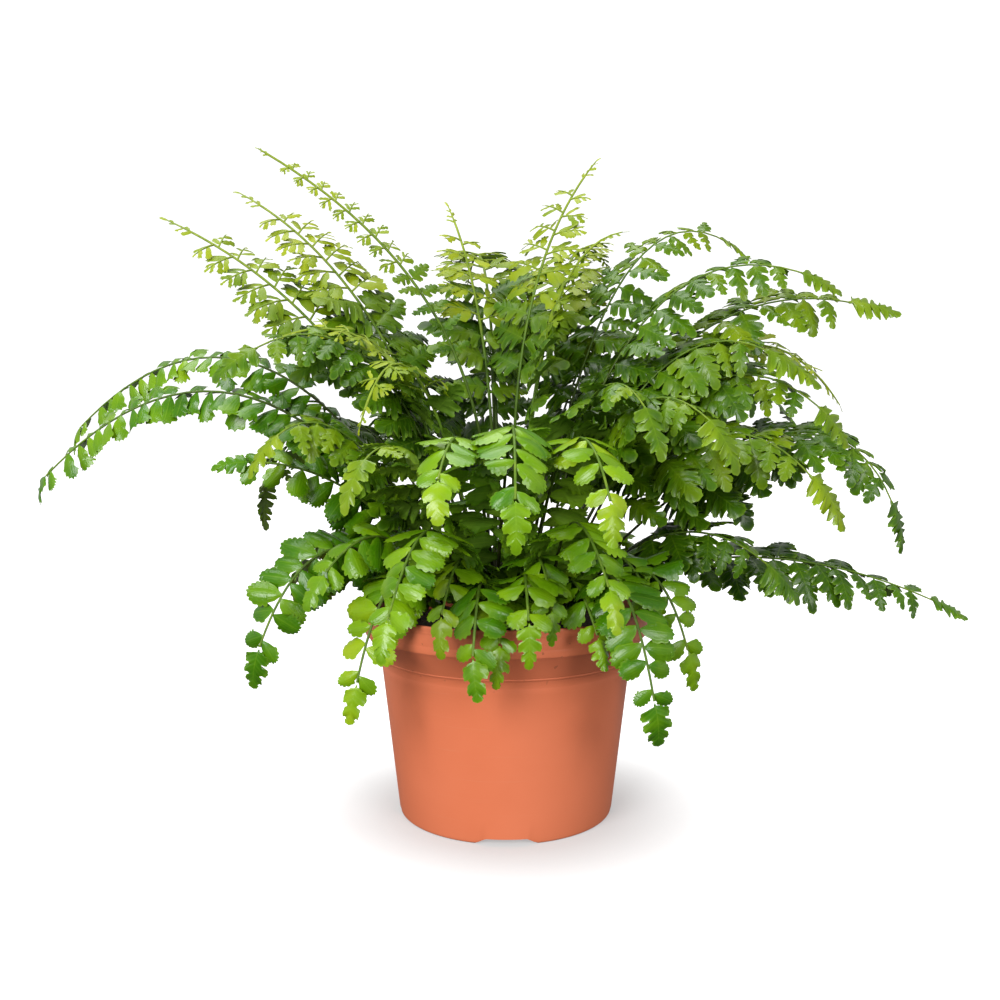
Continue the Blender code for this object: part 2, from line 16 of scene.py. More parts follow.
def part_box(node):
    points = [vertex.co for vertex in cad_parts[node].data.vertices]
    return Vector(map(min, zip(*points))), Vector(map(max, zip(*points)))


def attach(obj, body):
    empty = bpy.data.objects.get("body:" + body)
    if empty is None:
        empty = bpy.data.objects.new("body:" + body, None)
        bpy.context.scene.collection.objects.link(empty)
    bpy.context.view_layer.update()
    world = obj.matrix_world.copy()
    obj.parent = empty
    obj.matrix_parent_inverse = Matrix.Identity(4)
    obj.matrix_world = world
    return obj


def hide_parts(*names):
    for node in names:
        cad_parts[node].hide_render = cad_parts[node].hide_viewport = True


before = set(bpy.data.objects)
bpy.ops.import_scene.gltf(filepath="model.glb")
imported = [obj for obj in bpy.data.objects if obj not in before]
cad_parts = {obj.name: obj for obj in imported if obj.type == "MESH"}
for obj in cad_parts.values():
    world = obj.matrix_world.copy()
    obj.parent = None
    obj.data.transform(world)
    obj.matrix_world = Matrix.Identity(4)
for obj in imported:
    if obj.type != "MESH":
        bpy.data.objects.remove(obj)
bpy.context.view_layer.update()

MM = 0.001
UP = Vector((0.0, 0.0, 1.0))
SEED = 20

# The midribs' rule, as the solids have it, in mm and degrees: the rings that the stalks stand in, where along
# its curve a midrib has its shoulder, its half width at its foot, its steps, how far the pinnae lean forward,
# how far the last pair is from the frond's end, and how deep a stalk stands in the soil
RING_RADII = (13.0, 23.0, 34.0)
SHOULDER_AT = 0.55
STALK_HALF = 1.15
CURVE_SAMPLES = 60
LEAN = 18.0
LAST_PAIR_TO_END = 12.0
STALK_DEPTH = 8.0

# A habit of frond: where along it the pinnae start, how much they droop, how far they are lifted in degrees,
# how far apart they stand in mm, how long the frond's end is, as a share of its longest pinna, and how far
# the pinnae turn level, from 0 for not at all to 1
Habit = namedtuple("Habit", "start droop pitch spacing end level")
HABITS = {
    "mature": Habit(0.36, 0.5, -8.0, 11.0, 0.8, 0.35),
    "young": Habit(0.5, 0.6, 10.0, 12.0, 0.6, 0.35),
    "leaflet": Habit(0.14, 0.5, -8.0, 9.2, 1.1, 0.0),
}

Frond = namedtuple("Frond", "ring azimuth reach tip out crest kind pairs pinna roll")

# Each frond's place and habit, in the order of the nodes frond_01, frond_02 and so on: millimetres and
# degrees, with azimuth from +X, reach and tip for its tip, and out and crest for its shoulder.
ROWS = [
    # young fronds, upright, above the left
    (0, 189, 124, 336, 34, 252, "young", 7, 14, -55),
    (0, 168, 149, 326, 72, 255, "young", 6, 36, -35),
    (1, 180, 176, 306, 88, 240, "young", 6, 36, -40),
    (1, 196, 120, 240, 60, 232, "young", 4, 30, -20),
    # left, in tiers
    (2, 174, 240, 189, 138, 234, "leaflet", 8, 19, -32),
    (1, 183, 244, 163, 142, 217, "leaflet", 8, 20, -34),
    (2, 199, 149, 181, 88, 172, "leaflet", 5, 24, -58),
    (1, 208, 136, 176, 92, 199, "mature", 4, 34, -28),
    (2, 207, 136, 77, 100, 139, "leaflet", 5, 25, -50),
    (2, 218, 118, 116, 80, 148, "leaflet", 4, 25, -30),
    (2, 229, 108, 66, 82, 126, "leaflet", 4, 23, -30),
    # front, hanging over the rim
    (0, 222, 92, 196, 60, 226, "young", 4, 28, -10),
    (1, 238, 130, 168, 88, 189, "mature", 4, 32, 0),
    (2, 247, 136, 104, 92, 154, "leaflet", 5, 23, 0),
    (0, 259, 152, 166, 98, 194, "leaflet", 4, 21, 0),
    (2, 261, 102, 82, 80, 127, "leaflet", 4, 23, 0),
    (1, 271, 155, 156, 102, 200, "leaflet", 4, 23, 0),
    (2, 276, 103, 98, 80, 133, "leaflet", 4, 23, 0),
    (1, 287, 147, 154, 100, 195, "leaflet", 5, 23, 0),
    (2, 290, 134, 118, 90, 158, "leaflet", 4, 23, 0),
    (0, 303, 122, 188, 76, 216, "mature", 4, 33, 0),
    (2, 307, 113, 60, 88, 126, "leaflet", 5, 23, 25),
    (2, 325, 108, 77, 84, 130, "leaflet", 4, 23, 30),
    # right, in tiers
    (1, 316, 140, 184, 84, 210, "mature", 4, 35, 20),
    (1, 340, 168, 154, 108, 196, "mature", 5, 37, 32),
    (2, 343, 150, 114, 98, 148, "mature", 4, 35, 32),
    (1, 352, 200, 136, 150, 196, "mature", 6, 37, 38),
    (2, 1, 246, 98, 140, 131, "mature", 7, 33, 28),
    (0, 343, 152, 218, 88, 234, "mature", 5, 38, 32),
    (0, 357, 200, 254, 100, 248, "mature", 6, 37, 38),
    (1, 8, 184, 208, 116, 238, "young", 5, 36, 28),
    (0, 18, 143, 290, 72, 286, "mature", 6, 30, 35),
    (0, 335, 66, 294, 26, 256, "young", 5, 36, 20),
    (0, 30, 58, 343, 14, 258, "young", 6, 32, 20),
    # back, in tiers
    (1, 22, 190, 186, 116, 228, "mature", 5, 38, 20),
    (2, 46, 126, 90, 90, 137, "leaflet", 4, 23, 0),
    (1, 52, 165, 226, 88, 250, "mature", 5, 36, 0),
    (0, 58, 120, 292, 60, 282, "young", 6, 40, 0),
    (1, 70, 164, 146, 106, 206, "mature", 5, 38, 0),
    (2, 84, 122, 82, 88, 132, "leaflet", 4, 23, 0),
    (1, 96, 154, 222, 88, 246, "mature", 5, 36, 0),
    (0, 100, 140, 286, 64, 284, "young", 6, 40, 0),
    (1, 118, 174, 148, 110, 210, "mature", 5, 38, 0),
    (0, 122, 62, 324, 22, 242, "young", 5, 32, 0),
    (2, 122, 124, 88, 88, 136, "leaflet", 4, 23, 0),
    (0, 142, 148, 236, 82, 256, "mature", 5, 36, 0),
    (1, 148, 182, 142, 112, 204, "mature", 5, 36, 0),
    (2, 160, 132, 104, 90, 144, "leaflet", 4, 23, 0),
    # short ones inside the front
    (1, 250, 93, 100, 64, 138, "leaflet", 4, 21, 0),
    (2, 268, 92, 88, 66, 124, "leaflet", 4, 21, 0),
    (1, 283, 95, 104, 64, 140, "leaflet", 4, 21, 0),
    (2, 299, 94, 90, 68, 126, "leaflet", 4, 21, 0),
    (1, 318, 98, 104, 68, 140, "leaflet", 4, 21, 10),
    # between the tiers
    (0, 350, 168, 264, 82, 264, "mature", 5, 32, 35),
    (1, 346, 172, 190, 104, 222, "mature", 5, 34, 35),
    (0, 202, 146, 222, 78, 236, "mature", 5, 32, -35),
]
FRONDS = [Frond(*row) for row in ROWS]

# How light a green each kind of frond is, from 0 for the darkest to 1 for lime
TONES = {"mature": 0.22, "young": 0.53, "leaflet": 0.4}
# Painted light from above: leaves are painted lighter the higher they stand, by up to this much between these
# heights
PAINTED_TOP_LIGHT = 0.2
LOW = 130.0 * MM
HIGH = 300.0 * MM
# How much the tone differs at random from frond to frond, and along a frond from foot to tip
FROND_TONE = 0.08
TIP_TONE = 0.16
# How much shorter the last pinnae are than the first, and the power of the curve by which they shorten
TAPERS = {"mature": 0.55, "young": 0.6, "leaflet": 0.35}
SHORTENING = 1.3
# The power by which pinnae stand closer towards the tip, how far out the left one of a pair is, for the space
# to the next pair, and how long the first pair is for its place
CLOSING = 0.9
STAGGER = 0.22
FIRST_PAIR = 0.86
# How much pinnae differ at random: their lift in degrees, and their length
LIFTS = 7.0
LENGTHS = (0.92, 1.05)
# A stalk's tone at its foot and tip, the power of its taper and its radius at the tip in mm, its rings and
# sides, and how flat it is above
STALK_TONES = {"mature": (0.0, 0.7), "young": (0.08, 0.85), "leaflet": (0.05, 0.62)}
STALK_TAPERS = {"mature": (0.7, 0.4), "young": (1.1, 0.62), "leaflet": (0.8, 0.48)}
STALK_RINGS = 34
STALK_SIDES = 9
STALK_FLAT = 0.75
# Slim fronds have pinnae no longer than this in mm, set closer together. Those of leaflets are darker.
SLIM_PINNA = 20
SLIM_SPACING = 0.8
SLIM_DARKER = 0.2
LOBE_LENGTH = 6.2 * MM
# Up to this share of their blade, young fronds have broad pinnae, which are darker by this much
BASAL = 0.35
BASAL_DARKER = 0.26


# Node materials


class Nodes:
    """A data-block's node tree, with short calls for the nodes that this scene uses. Each call takes plain
    values or other nodes' outputs, and returns an output."""

    def __init__(self, owner):
        owner.use_nodes = True
        self.tree = owner.node_tree

    def feed(self, node, inputs):
        """Feeds the node's inputs, which are given by name or number."""
        for key, value in inputs.items():
            if isinstance(value, bpy.types.NodeSocket):
                self.tree.links.new(value, node.inputs[key])
            else:
                node.inputs[key].default_value = value

    def node(self, kind, inputs, output=0, **settings):
        node = self.tree.nodes.new("ShaderNode" + kind)
        for name, value in settings.items():
            setattr(node, name, value)
        self.feed(node, inputs)
        return node.outputs[output]

    def math(self, operation, a, b=0.0):
        return self.node("Math", {0: a, 1: b}, operation=operation)

    def span(self, value, low, high, to_low=0.0, to_high=1.0):
        """value from low to high, carried to the range from to_low to to_high and held inside it."""
        inputs = dict(enumerate((value, low, high, to_low, to_high)))
        return self.node("MapRange", inputs, interpolation_type="SMOOTHSTEP")

    def mix(self, factor, a, b):
        return self.node("Mix", {"Factor": factor, 6: a, 7: b}, 2, data_type="RGBA")

    def ramp(self, value, stops):
        """The colour at this value, between stops of (value, colour)."""
        color = self.node("ValToRGB", {0: value})
        elements = color.node.color_ramp.elements
        while len(elements) < len(stops):
            elements.new(0.5)
        for element, (place, shade) in zip(elements, stops):
            element.position = place
            element.color = (*shade, 1.0)
        return color

    def attribute(self, name, output):
        return self.node("Attribute", {}, output, attribute_name=name)

    def xyz(self, vector):
        """The three parts of a vector."""
        return self.node("SeparateXYZ", {0: vector}).node.outputs

    def place(self, stretch=(1.0, 1.0, 1.0)):
        """Object coordinates, in metres, stretched along each axis."""
        spot = self.node("TexCoord", {}, "Object")
        return self.node("Mapping", {"Scale": stretch, "Vector": spot})

    def noise(self, scale, detail=3.0, stretch=(1.0, 1.0, 1.0)):
        inputs = {"Vector": self.place(stretch), "Scale": scale, "Detail": detail}
        return self.node("TexNoise", inputs, "Fac")

    def bump(self, height, strength, distance):
        return self.node("Bump", {"Strength": strength, "Distance": distance, "Height": height})


class Look(Nodes):
    """A material with one shader."""

    def __init__(self, name):
        self.material = bpy.data.materials.new(name)
        super().__init__(self.material)
        self.shader = self.tree.nodes["Principled BSDF"]

    def shade(self, **inputs):
        """Feeds the shader's sockets, whose names are given with _ for each space."""
        self.feed(self.shader, {name.replace("_", " "): value for name, value in inputs.items()})
        return self.material


# From a dark leaf to a lime one: olive greens for the upper fronds, and clearer ones for the leaflets
OLIVES = (
    (0.0, (0.013, 0.05, 0.001)),
    (0.3, (0.065, 0.17, 0.001)),
    (0.6, (0.23, 0.34, 0.003)),
    (1.0, (0.5, 0.56, 0.012)),
)
GREENS = (
    (0.0, (0.009, 0.05, 0.001)),
    (0.3, (0.06, 0.21, 0.001)),
    (0.6, (0.22, 0.41, 0.003)),
    (1.0, (0.5, 0.58, 0.015)),
)
PALE_UNDERSIDE = (0.24, 0.4, 0.05, 1.0)
EDGE_LIME = (0.3, 0.5, 0.03, 1.0)
LIGHT_THROUGH = (0.45, 0.75, 0.03, 1.0)
# How many waves of vein a leaf has, in radians from one margin to the midrib
VEINS = 24.0


def leaf_material(name, roughness, glow, coat, stops):
    """A glossy leaf with fanning veins, a pale edge and underside, and light coming through it.

    glow is the share of light that comes through, coat how strong its wax is, and stops its greens by tone.
    The mesh gives each point its place across and out from the midrib, its tone and its underside.
    """
    look = Look(name)
    across, outward, tone = look.xyz(look.attribute("leaf", "Vector"))
    mottled = look.math("ADD", tone, look.span(look.noise(55.0, 2.0), 0.3, 0.7, -0.09, 0.09))
    green = look.ramp(mottled, stops)
    wave = look.math("SINE", look.math("MULTIPLY", across, VEINS))
    vein = look.span(wave, 0.35, 1.0)
    green = look.mix(look.math("MULTIPLY", vein, 0.09), green, EDGE_LIME)
    rib = look.span(outward, 0.0, 0.07, 0.25, 0.0)
    edge = look.math("ADD", rib, look.span(outward, 0.7, 1.02, 0.0, 0.3))
    green = look.mix(edge, green, EDGE_LIME)
    under = look.attribute("under", "Fac")
    green = look.mix(look.math("MULTIPLY", under, 0.45), green, PALE_UNDERSIDE)
    height = look.math("ADD", look.math("MULTIPLY", wave, 0.4), look.noise(900.0, 2.0))
    look.shade(
        Base_Color=green,
        Roughness=roughness,
        Normal=look.bump(height, 0.22, 0.00025),
        Specular_IOR_Level=0.34,
        Coat_Weight=coat,
        Coat_Roughness=0.22,
    )
    through = look.node("BsdfTranslucent", {"Color": look.mix(0.45, green, LIGHT_THROUGH)})
    both = look.node("MixShader", {0: glow, 1: look.shader.outputs[0], 2: through})
    look.feed(look.tree.nodes["Material Output"], {"Surface": both})
    return look.material


def stalk_material():
    """Stalks and midribs: blackish brown at the foot, green towards the tip, finely streaked."""
    look = Look("stalk")
    tone = look.xyz(look.attribute("leaf", "Vector"))[2]
    streaks = look.noise(420.0, 3.0, (1.0, 1.0, 0.15))
    stops = (
        (0.0, (0.012, 0.007, 0.004)),
        (0.25, (0.03, 0.04, 0.006)),
        (0.55, (0.085, 0.17, 0.01)),
        (1.0, (0.34, 0.43, 0.035)),
    )
    color = look.ramp(look.math("ADD", tone, look.span(streaks, 0.3, 0.7, -0.08, 0.08)), stops)
    normal = look.bump(streaks, 0.3, 0.0003)
    return look.shade(Base_Color=color, Roughness=0.45, Normal=normal, Specular_IOR_Level=0.25)


def pot_material():
    """Satin terracotta-coloured plastic with fine moulding lines, faint mottling and specks of soil."""
    look = Look("pot_plastic_look")
    cloud = look.span(look.noise(14.0, 4.0), 0.3, 0.7)
    color = look.mix(cloud, (0.7, 0.18, 0.08, 1.0), (0.76, 0.205, 0.096, 1.0))
    lines = look.noise(60.0, 2.0, (0.4, 0.4, 14.0))
    color = look.mix(look.span(lines, 0.62, 0.8, 0.0, 0.12), color, (0.7, 0.3, 0.18, 1.0))
    upper = look.span(look.xyz(look.place())[2], 0.06, 0.11)
    specks = look.math("MULTIPLY", look.span(look.noise(330.0, 1.0), 0.75, 0.79), upper)
    color = look.mix(look.math("MULTIPLY", specks, 0.55), color, (0.16, 0.06, 0.03, 1.0))
    fine = look.math("MULTIPLY", look.noise(1500.0, 2.0), 0.5)
    relief = look.math("ADD", look.math("MULTIPLY", lines, 0.7), fine)
    roughness = look.span(look.noise(40.0, 3.0), 0.3, 0.7, 0.36, 0.46)
    normal = look.bump(relief, 0.25, 0.00012)
    return look.shade(Base_Color=color, Roughness=roughness, Normal=normal, Specular_IOR_Level=0.3)


def soil_material():
    """Dark damp peat with lighter fibres."""
    look = Look("potting_soil_look")
    stops = ((0.35, (0.012, 0.007, 0.004)), (0.55, (0.045, 0.024, 0.013)), (0.75, (0.15, 0.09, 0.05)))
    color = look.ramp(look.noise(700.0, 5.0), stops)
    return look.shade(Base_Color=color, Roughness=0.92, Normal=look.bump(look.noise(380.0, 6.0), 0.9, 0.002))


def rootstock_material():
    """The rhizome's brown chaffy scales."""
    look = Look("rootstock_look")
    scales = look.noise(520.0, 4.0, (1.0, 1.0, 0.4))
    color = look.ramp(scales, ((0.3, (0.014, 0.007, 0.004)), (0.7, (0.12, 0.055, 0.022))))
    return look.shade(Base_Color=color, Roughness=0.8, Normal=look.bump(scales, 0.9, 0.001))


# Meshes


def add_object(name, data):
    """A new object with this data, in the scene."""
    thing = bpy.data.objects.new(name, data)
    bpy.context.scene.collection.objects.link(thing)
    return thing


def make_piece(name, points, triangles, materials, slots=None, leaf=None, under=None):
    """A mesh object from arrays, smooth where its faces meet gently, that rides on the plant's one body."""
    mesh = bpy.data.meshes.new(name)
    mesh.vertices.add(len(points))
    mesh.vertices.foreach_set("co", np.asarray(points, np.float32).ravel())
    mesh.loops.add(3 * len(triangles))
    mesh.loops.foreach_set("vertex_index", np.asarray(triangles, np.int32).ravel())
    mesh.polygons.add(len(triangles))
    mesh.polygons.foreach_set("loop_start", np.arange(0, 3 * len(triangles), 3, dtype=np.int32))
    for material in materials:
        mesh.materials.append(material)
    mesh.update(calc_edges=True)
    if leaf is not None:
        mesh.polygons.foreach_set("material_index", np.asarray(slots, np.int32))
        mesh.attributes.new("leaf", "FLOAT_VECTOR", "POINT").data.foreach_set("vector", leaf.ravel())
        mesh.attributes.new("under", "FLOAT", "POINT").data.foreach_set("value", under)
    mesh.shade_smooth()
    mesh.set_sharp_from_angle(angle=radians(70))
    piece = add_object(name, mesh)
    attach(piece, "root")
    return piece


def ring_faces(rings, sides):
    """Triangles between rings of points, closed by fans to the two points that follow the rings."""
    foot, head = rings * sides, rings * sides + 1
    last = foot - sides
    faces = []
    for j in range(sides):
        ahead = (j + 1) % sides
        faces += [(foot, ahead, j), (head, last + j, last + ahead)]
        for i in range(rings - 1):
            a, b = i * sides + j, i * sides + ahead
            faces += [(a, b, b + sides), (a, b + sides, a + sides)]
    return np.array(faces)


def tube(path, radii, sides, flat_above=1.0, ups=None):
    """Points and triangles of a round rod along the path, closed at both ends. flat_above is how high its
    upper half is for its lower half, and ups are the directions that it faces, straight up if not given."""
    path = np.asarray(path)
    forward = np.gradient(path, axis=0)
    forward /= np.linalg.norm(forward, axis=1)[:, None]
    up = np.tile(UP, (len(path), 1)) if ups is None else np.asarray(ups)
    across = np.cross(forward, up)
    across /= np.linalg.norm(across, axis=1)[:, None] + 1e-12
    up = np.cross(across, forward)
    turns = np.arange(sides) * tau / sides
    rise = np.sin(turns) * np.where(np.sin(turns) > 0.0, flat_above, 1.0)
    sideways = np.cos(turns)[None, :, None] * across[:, None, :]
    upward = rise[None, :, None] * up[:, None, :]
    rings = path[:, None, :] + np.asarray(radii)[:, None, None] * (sideways + upward)
    return np.vstack([rings.reshape(-1, 3), path[:1], path[-1:]]), ring_faces(len(path), sides)


# Leaf shapes, one unit long, flat, and drawn out from their base at the origin along +X

Shape = namedtuple("Shape", "points marks under triangles")
LEAF_THICKNESS = 0.035


def leaf_shape(right, left, columns=2, slant=0.0, vein=0.0):
    """A thin closed leaf between two margins, each a list of (x, y) from the base to just before the tip.

    slant is how far each row runs back to its foot on the midrib, for its distance from there. The veins run
    from the base to the margin, or, if vein isn't 0, out along the rows, this far apart.
    """
    points, marks, edge, rows = [(0.0, 0.0, 0.0)], [(0.0, 0.0)], {0}, []
    foot = 0.0
    for low, high in zip(right, left):
        back = slant * 0.5 * (low[1] + high[1])
        foot = min(0.97, max(foot + 0.003, 0.02 + 0.46 * (low[0] + high[0]) - back))
        first = len(points)
        for column in range(-columns, columns + 1):
            x, y = high if column > 0 else low
            hand, share = copysign(1.0, column), abs(column) / columns
            points.append((foot + (x - foot) * share, hand * y * share, 0.0))
            marks.append((vein * len(rows) if vein else hand * share, share))
        rows.append(range(first, len(points)))
        edge |= {rows[-1][0], rows[-1][-1]}
    tip = len(points)
    edge.add(tip)
    points.append((1.0, 0.0, 0.0))
    marks.append((marks[-1][0], 1.0))
    triangles = [(0, a, b) for a, b in zip(rows[0], rows[0][1:])]
    for row, following in zip(rows, rows[1:]):
        for k in range(2 * columns):
            triangles += [(row[k], following[k], following[k + 1]), (row[k], following[k + 1], row[k + 1])]
    triangles += [(a, tip, b) for a, b in zip(rows[-1], rows[-1][1:])]
    return shell(points, marks, edge, triangles)


def shell(points, marks, edge, triangles):
    """A closed thin leaf from its upper face: the vertices inside its edge get a twin below."""
    points, marks = np.array(points), np.array(marks)
    inner = [i for i in range(len(points)) if i not in edge]
    twin = {i: len(points) + k for k, i in enumerate(inner)}
    points[inner, 2] += LEAF_THICKNESS / 2.0
    below = points[inner] - (0.0, 0.0, LEAF_THICKNESS)
    lower = [(twin.get(a, a), twin.get(c, c), twin.get(b, b)) for a, b, c in triangles]
    under = np.concatenate([np.zeros(len(points)), np.ones(len(inner))])
    marks = np.vstack([marks, marks[inner]])
    return Shape(np.vstack([points, below]), marks, under, np.array(triangles + lower))


# Where along its wedge a leaflet's base has points, the power of its curve, and how many degrees further
# round the teeth reach on the leaflet's fuller side
WEDGE = (0.25, 0.6)
WEDGE_POWER = 1.2
FULLER = 8.0


def toothed_leaf(rng, teeth, width, foot, middle, depth, samples=4, columns=2, turn=108.0):
    """A leaflet with a wedge base, fuller on one side, and a round end with blunt teeth.

    It has this many teeth on each side, and one at the tip. foot is how wide it is at its base, middle where
    its round end is centred, depth how deep it is cut, and turn how far round the end the teeth reach, in
    degrees. samples is how many points a tooth has, and columns how many rows of faces each half has.
    """
    margins = []
    for hand in (1.0, -1.0):
        turned = radians(turn + FULLER * hand)
        wide = width * rng.uniform(0.9, 1.1)
        cut = rng.uniform(0.6, 1.4, teeth + 1) * depth
        shift = rng.uniform(-0.3, 0.3)
        start_x, start_y = middle + (1.0 - middle) * cos(turned), wide * sin(turned)
        margin = [(start_x * s, foot + (start_y - foot) * s**WEDGE_POWER) for s in WEDGE]
        steps = round(samples * (teeth + 0.5))
        for k in range(steps):
            part = k / steps
            tooth = max(0.0, part * (teeth + 0.5) + shift * sin(pi * part))
            dip = 1.0 - cut[min(teeth, int(tooth))] * (1.0 - abs(sin(pi * tooth)) ** 0.5)
            angle = turned * (1.0 - part)
            margin.append((middle + (1.0 - middle) * cos(angle) * dip, wide * sin(angle) * dip))
        margins.append(margin)
    return leaf_shape(*margins, columns)


# The edge of one lobe of a blade, from the notch behind it to the one before it, as (along, outward) shares:
# it is narrower at its foot, and has three blunt teeth at its end
LOBE_EDGE = ((0.0, 0.0), (0.2, 0.24), (0.19, 0.56), (0.18, 0.8), (0.34, 0.95), (0.41, 0.87))
LOBE_EDGE += ((0.56, 1.0), (0.7, 0.97), (0.75, 0.86), (0.9, 0.82), (0.91, 0.52), (0.86, 0.2))
# The end of a blade, from its last lobe to before its tip, as (along, outward) shares
END_EDGE = ((0.0, 0.5), (0.3, 0.66), (0.4, 0.56), (0.7, 0.5), (0.8, 0.36))
# Where along a blade its lobes start and end, and how far those on its two sides are apart
LOBES_FROM = 0.1
LOBES_TO = 0.86
LOBES_APART = 0.02
LOBE_SLANT = 0.6
LOBE_VEIN = 0.087


def lobed_leaf(rng, lobes, width, notch):
    """A blade with this many toothed lobes a side, shorter towards its tip, and cut to notch of its width."""
    margins = []
    for hand in (1.0, -1.0):
        x = LOBES_FROM + LOBES_APART * hand
        step = (LOBES_TO - x) / lobes
        margin = [(0.4 * x, 0.02), (0.8 * x, 0.03)]
        for k in range(lobes):
            part = (k + 0.5) / lobes
            reach = step * (1.25 - 0.5 * part)
            peak = width * (1.0 - 0.6 * part**1.3) * rng.uniform(0.9, 1.1) * (0.85 if k == 0 else 1.0)
            inner = peak * (notch + 0.2 * part)
            margin += [(x + along * reach, inner + out * (peak - inner)) for along, out in LOBE_EDGE]
            x += reach
        margin += [(x + along * (1.0 - x), out * peak) for along, out in END_EDGE]
        margins.append(margin)
    return leaf_shape(*margins, 2, LOBE_SLANT, LOBE_VEIN)


LOBE_COUNTS = range(3, 8)
BLADE_WIDTHS = (0.34, 0.38, 0.42)


def make_shapes():
    """Every family of leaf, each in a few shapes."""
    rng = np.random.default_rng(SEED)

    def several(teeth, widths, *more):
        return [toothed_leaf(rng, count, width, *more) for count in teeth for width in widths]

    shapes = {
        "leaflet": several((3, 4, 5), (0.33, 0.37), 0.03, 0.52, 0.22, 4, 2),
        "small": several((2, 3), (0.36, 0.42), 0.05, 0.5, 0.34, 3, 1, 84.0),
        "fork": several((1, 1, 2), (0.28, 0.36), 0.1, 0.45, 0.4, 3, 1, 58.0),
        "tip": [lobed_leaf(rng, count, width, 0.42) for count in (2, 3) for width in (0.36, 0.42)],
    }
    for count in LOBE_COUNTS:
        for style, notch in (("broad", 0.26), ("mature", 0.12)):
            shapes[f"{style}_{count}"] = [lobed_leaf(rng, count, width, notch) for width in BLADE_WIDTHS]
    return shapes


SHAPES = make_shapes()

Placing = namedtuple("Placing", "origin ahead side up length width sag cup tone phase")
# How far leaflets are turned at random, in radians: about their length, up or down, and to either side
TILT = 0.14
NOD = 0.13
SWING = 0.08


class Foliage:
    """The leaflets and stalks of one frond, gathered until they are joined into one mesh."""

    def __init__(self, rng):
        self.rng = rng
        self.placings = defaultdict(list)
        self.stalks = []

    def put(self, family, origin, ahead, up, length, tone, sag, cup, wobble=1.0, hand=1.0):
        """Places a leaflet of this family, turned a little at random, more so with a larger wobble. sag is
        how much it bends down along it, and cup across it. hand -1 mirrors it."""
        rng = self.rng
        tilt = Matrix.Rotation(rng.normal(0.0, TILT * wobble), 3, ahead)
        side = up.cross(ahead).normalized()
        nod = Matrix.Rotation(rng.normal(0.0, NOD * wobble), 3, side)
        swing = Matrix.Rotation(rng.normal(0.0, SWING * wobble), 3, up)
        ahead = (swing @ nod @ ahead).normalized()
        up = tilt @ nod @ up
        side = up.cross(ahead).normalized()
        up = ahead.cross(side)
        index = int(rng.integers(len(SHAPES[family])))
        size = length * rng.uniform(0.9, 1.08)
        width = rng.uniform(0.9, 1.1) * hand
        sag *= rng.uniform(0.4, 1.7)
        cup *= rng.uniform(0.3, 1.7)
        tone += rng.normal(0.0, 0.05)
        placing = Placing(origin, ahead, side, up, size, width, sag, cup, tone, rng.uniform(0.0, tau))
        self.placings[family, index].append(placing)

    def stalk(self, path, radii, sides, tones, flat_above=1.0, ups=None):
        """Adds a tube whose tone runs from the first of these to the second."""
        points, faces = tube(path, radii, sides, flat_above, ups)
        leaf = np.zeros((len(points), 3))
        leaf[: len(path) * sides, 2] = np.repeat(np.linspace(*tones, len(path)), sides)
        leaf[-2:, 2] = tones
        self.stalks.append((points, faces, leaf, np.zeros(len(points)), STALK_SLOT))

    def joined(self):
        """All of it as points, triangles, the leaf marks, the underside marks and the material slots."""
        blocks = [leaf_block(SHAPES[family][index], rows) for (family, index), rows in self.placings.items()]
        points, faces, leaf, under, slots = zip(*blocks, *self.stalks)
        starts = np.cumsum([0] + [len(part) for part in points])
        slots = [np.full(len(part), slot) for part, slot in zip(faces, slots)]
        faces = [part + start for part, start in zip(faces, starts)]
        return [np.concatenate(part) for part in (points, faces, leaf, under, slots)]


LEAF_SLOT = 0
STALK_SLOT = 1


def leaf_block(shape, placings):
    """The shape's copies: their points, triangles, leaf marks and underside marks, and their slot."""
    copies, count = len(placings), len(shape.points)
    mirrored = np.array([placing.width < 0.0 for placing in placings])
    triangles = np.where(mirrored[:, None, None], shape.triangles[:, ::-1], shape.triangles)
    triangles = triangles + count * np.arange(copies)[:, None, None]
    marks = np.zeros((copies, count, 3))
    marks[:, :, :2] = shape.marks
    marks[:, :, 2] = np.array([placing.tone for placing in placings])[:, None]
    points = placed_points(shape, placings).reshape(-1, 3)
    return points, triangles.reshape(-1, 3), marks.reshape(-1, 3), np.tile(shape.under, copies), LEAF_SLOT


# How high the ripples at a leaf's edge are for its length, and how many it has, in radians
RIPPLE = 0.03
RIPPLES = 8.0


def placed_points(shape, placings):
    """The shape's points at each placing, sagging along it, cupped across it and rippled at its edge."""
    column = {name: np.array([getattr(p, name) for p in placings])[:, None] for name in Placing._fields}
    x, y, z = shape.points.T
    turn, row = shape.marks.T
    length, width = column["length"], column["width"]
    ripple = RIPPLE * row**2 * np.sin(RIPPLES * turn + column["phase"])
    drop = 0.5 * column["sag"] * x**2 + column["cup"] * (y * width) ** 2
    along, across, rise = x * length, y * width * length, (z - drop + ripple) * length
    spots = column["origin"] + along[..., None] * column["ahead"] + across[..., None] * column["side"]
    return spots + rise[..., None] * column["up"]


# Fronds


SOIL_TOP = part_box("soil")[1].z


def ring_feet():
    """Where each frond's stalk leaves the soil: evenly round its ring, in the order of the azimuths."""
    feet = {}
    for ring, radius in enumerate(RING_RADII):
        members = [(frond.azimuth % 360, k) for k, frond in enumerate(FRONDS) if frond.ring == ring]
        members.sort()
        step = tau / len(members)
        shift = sum(radians(turn) - i * step for i, (turn, _) in enumerate(members)) / len(members)
        for i, (_, k) in enumerate(members):
            turn = shift + i * step
            feet[k] = Vector((radius * MM * cos(turn), radius * MM * sin(turn), SOIL_TOP))
    return feet


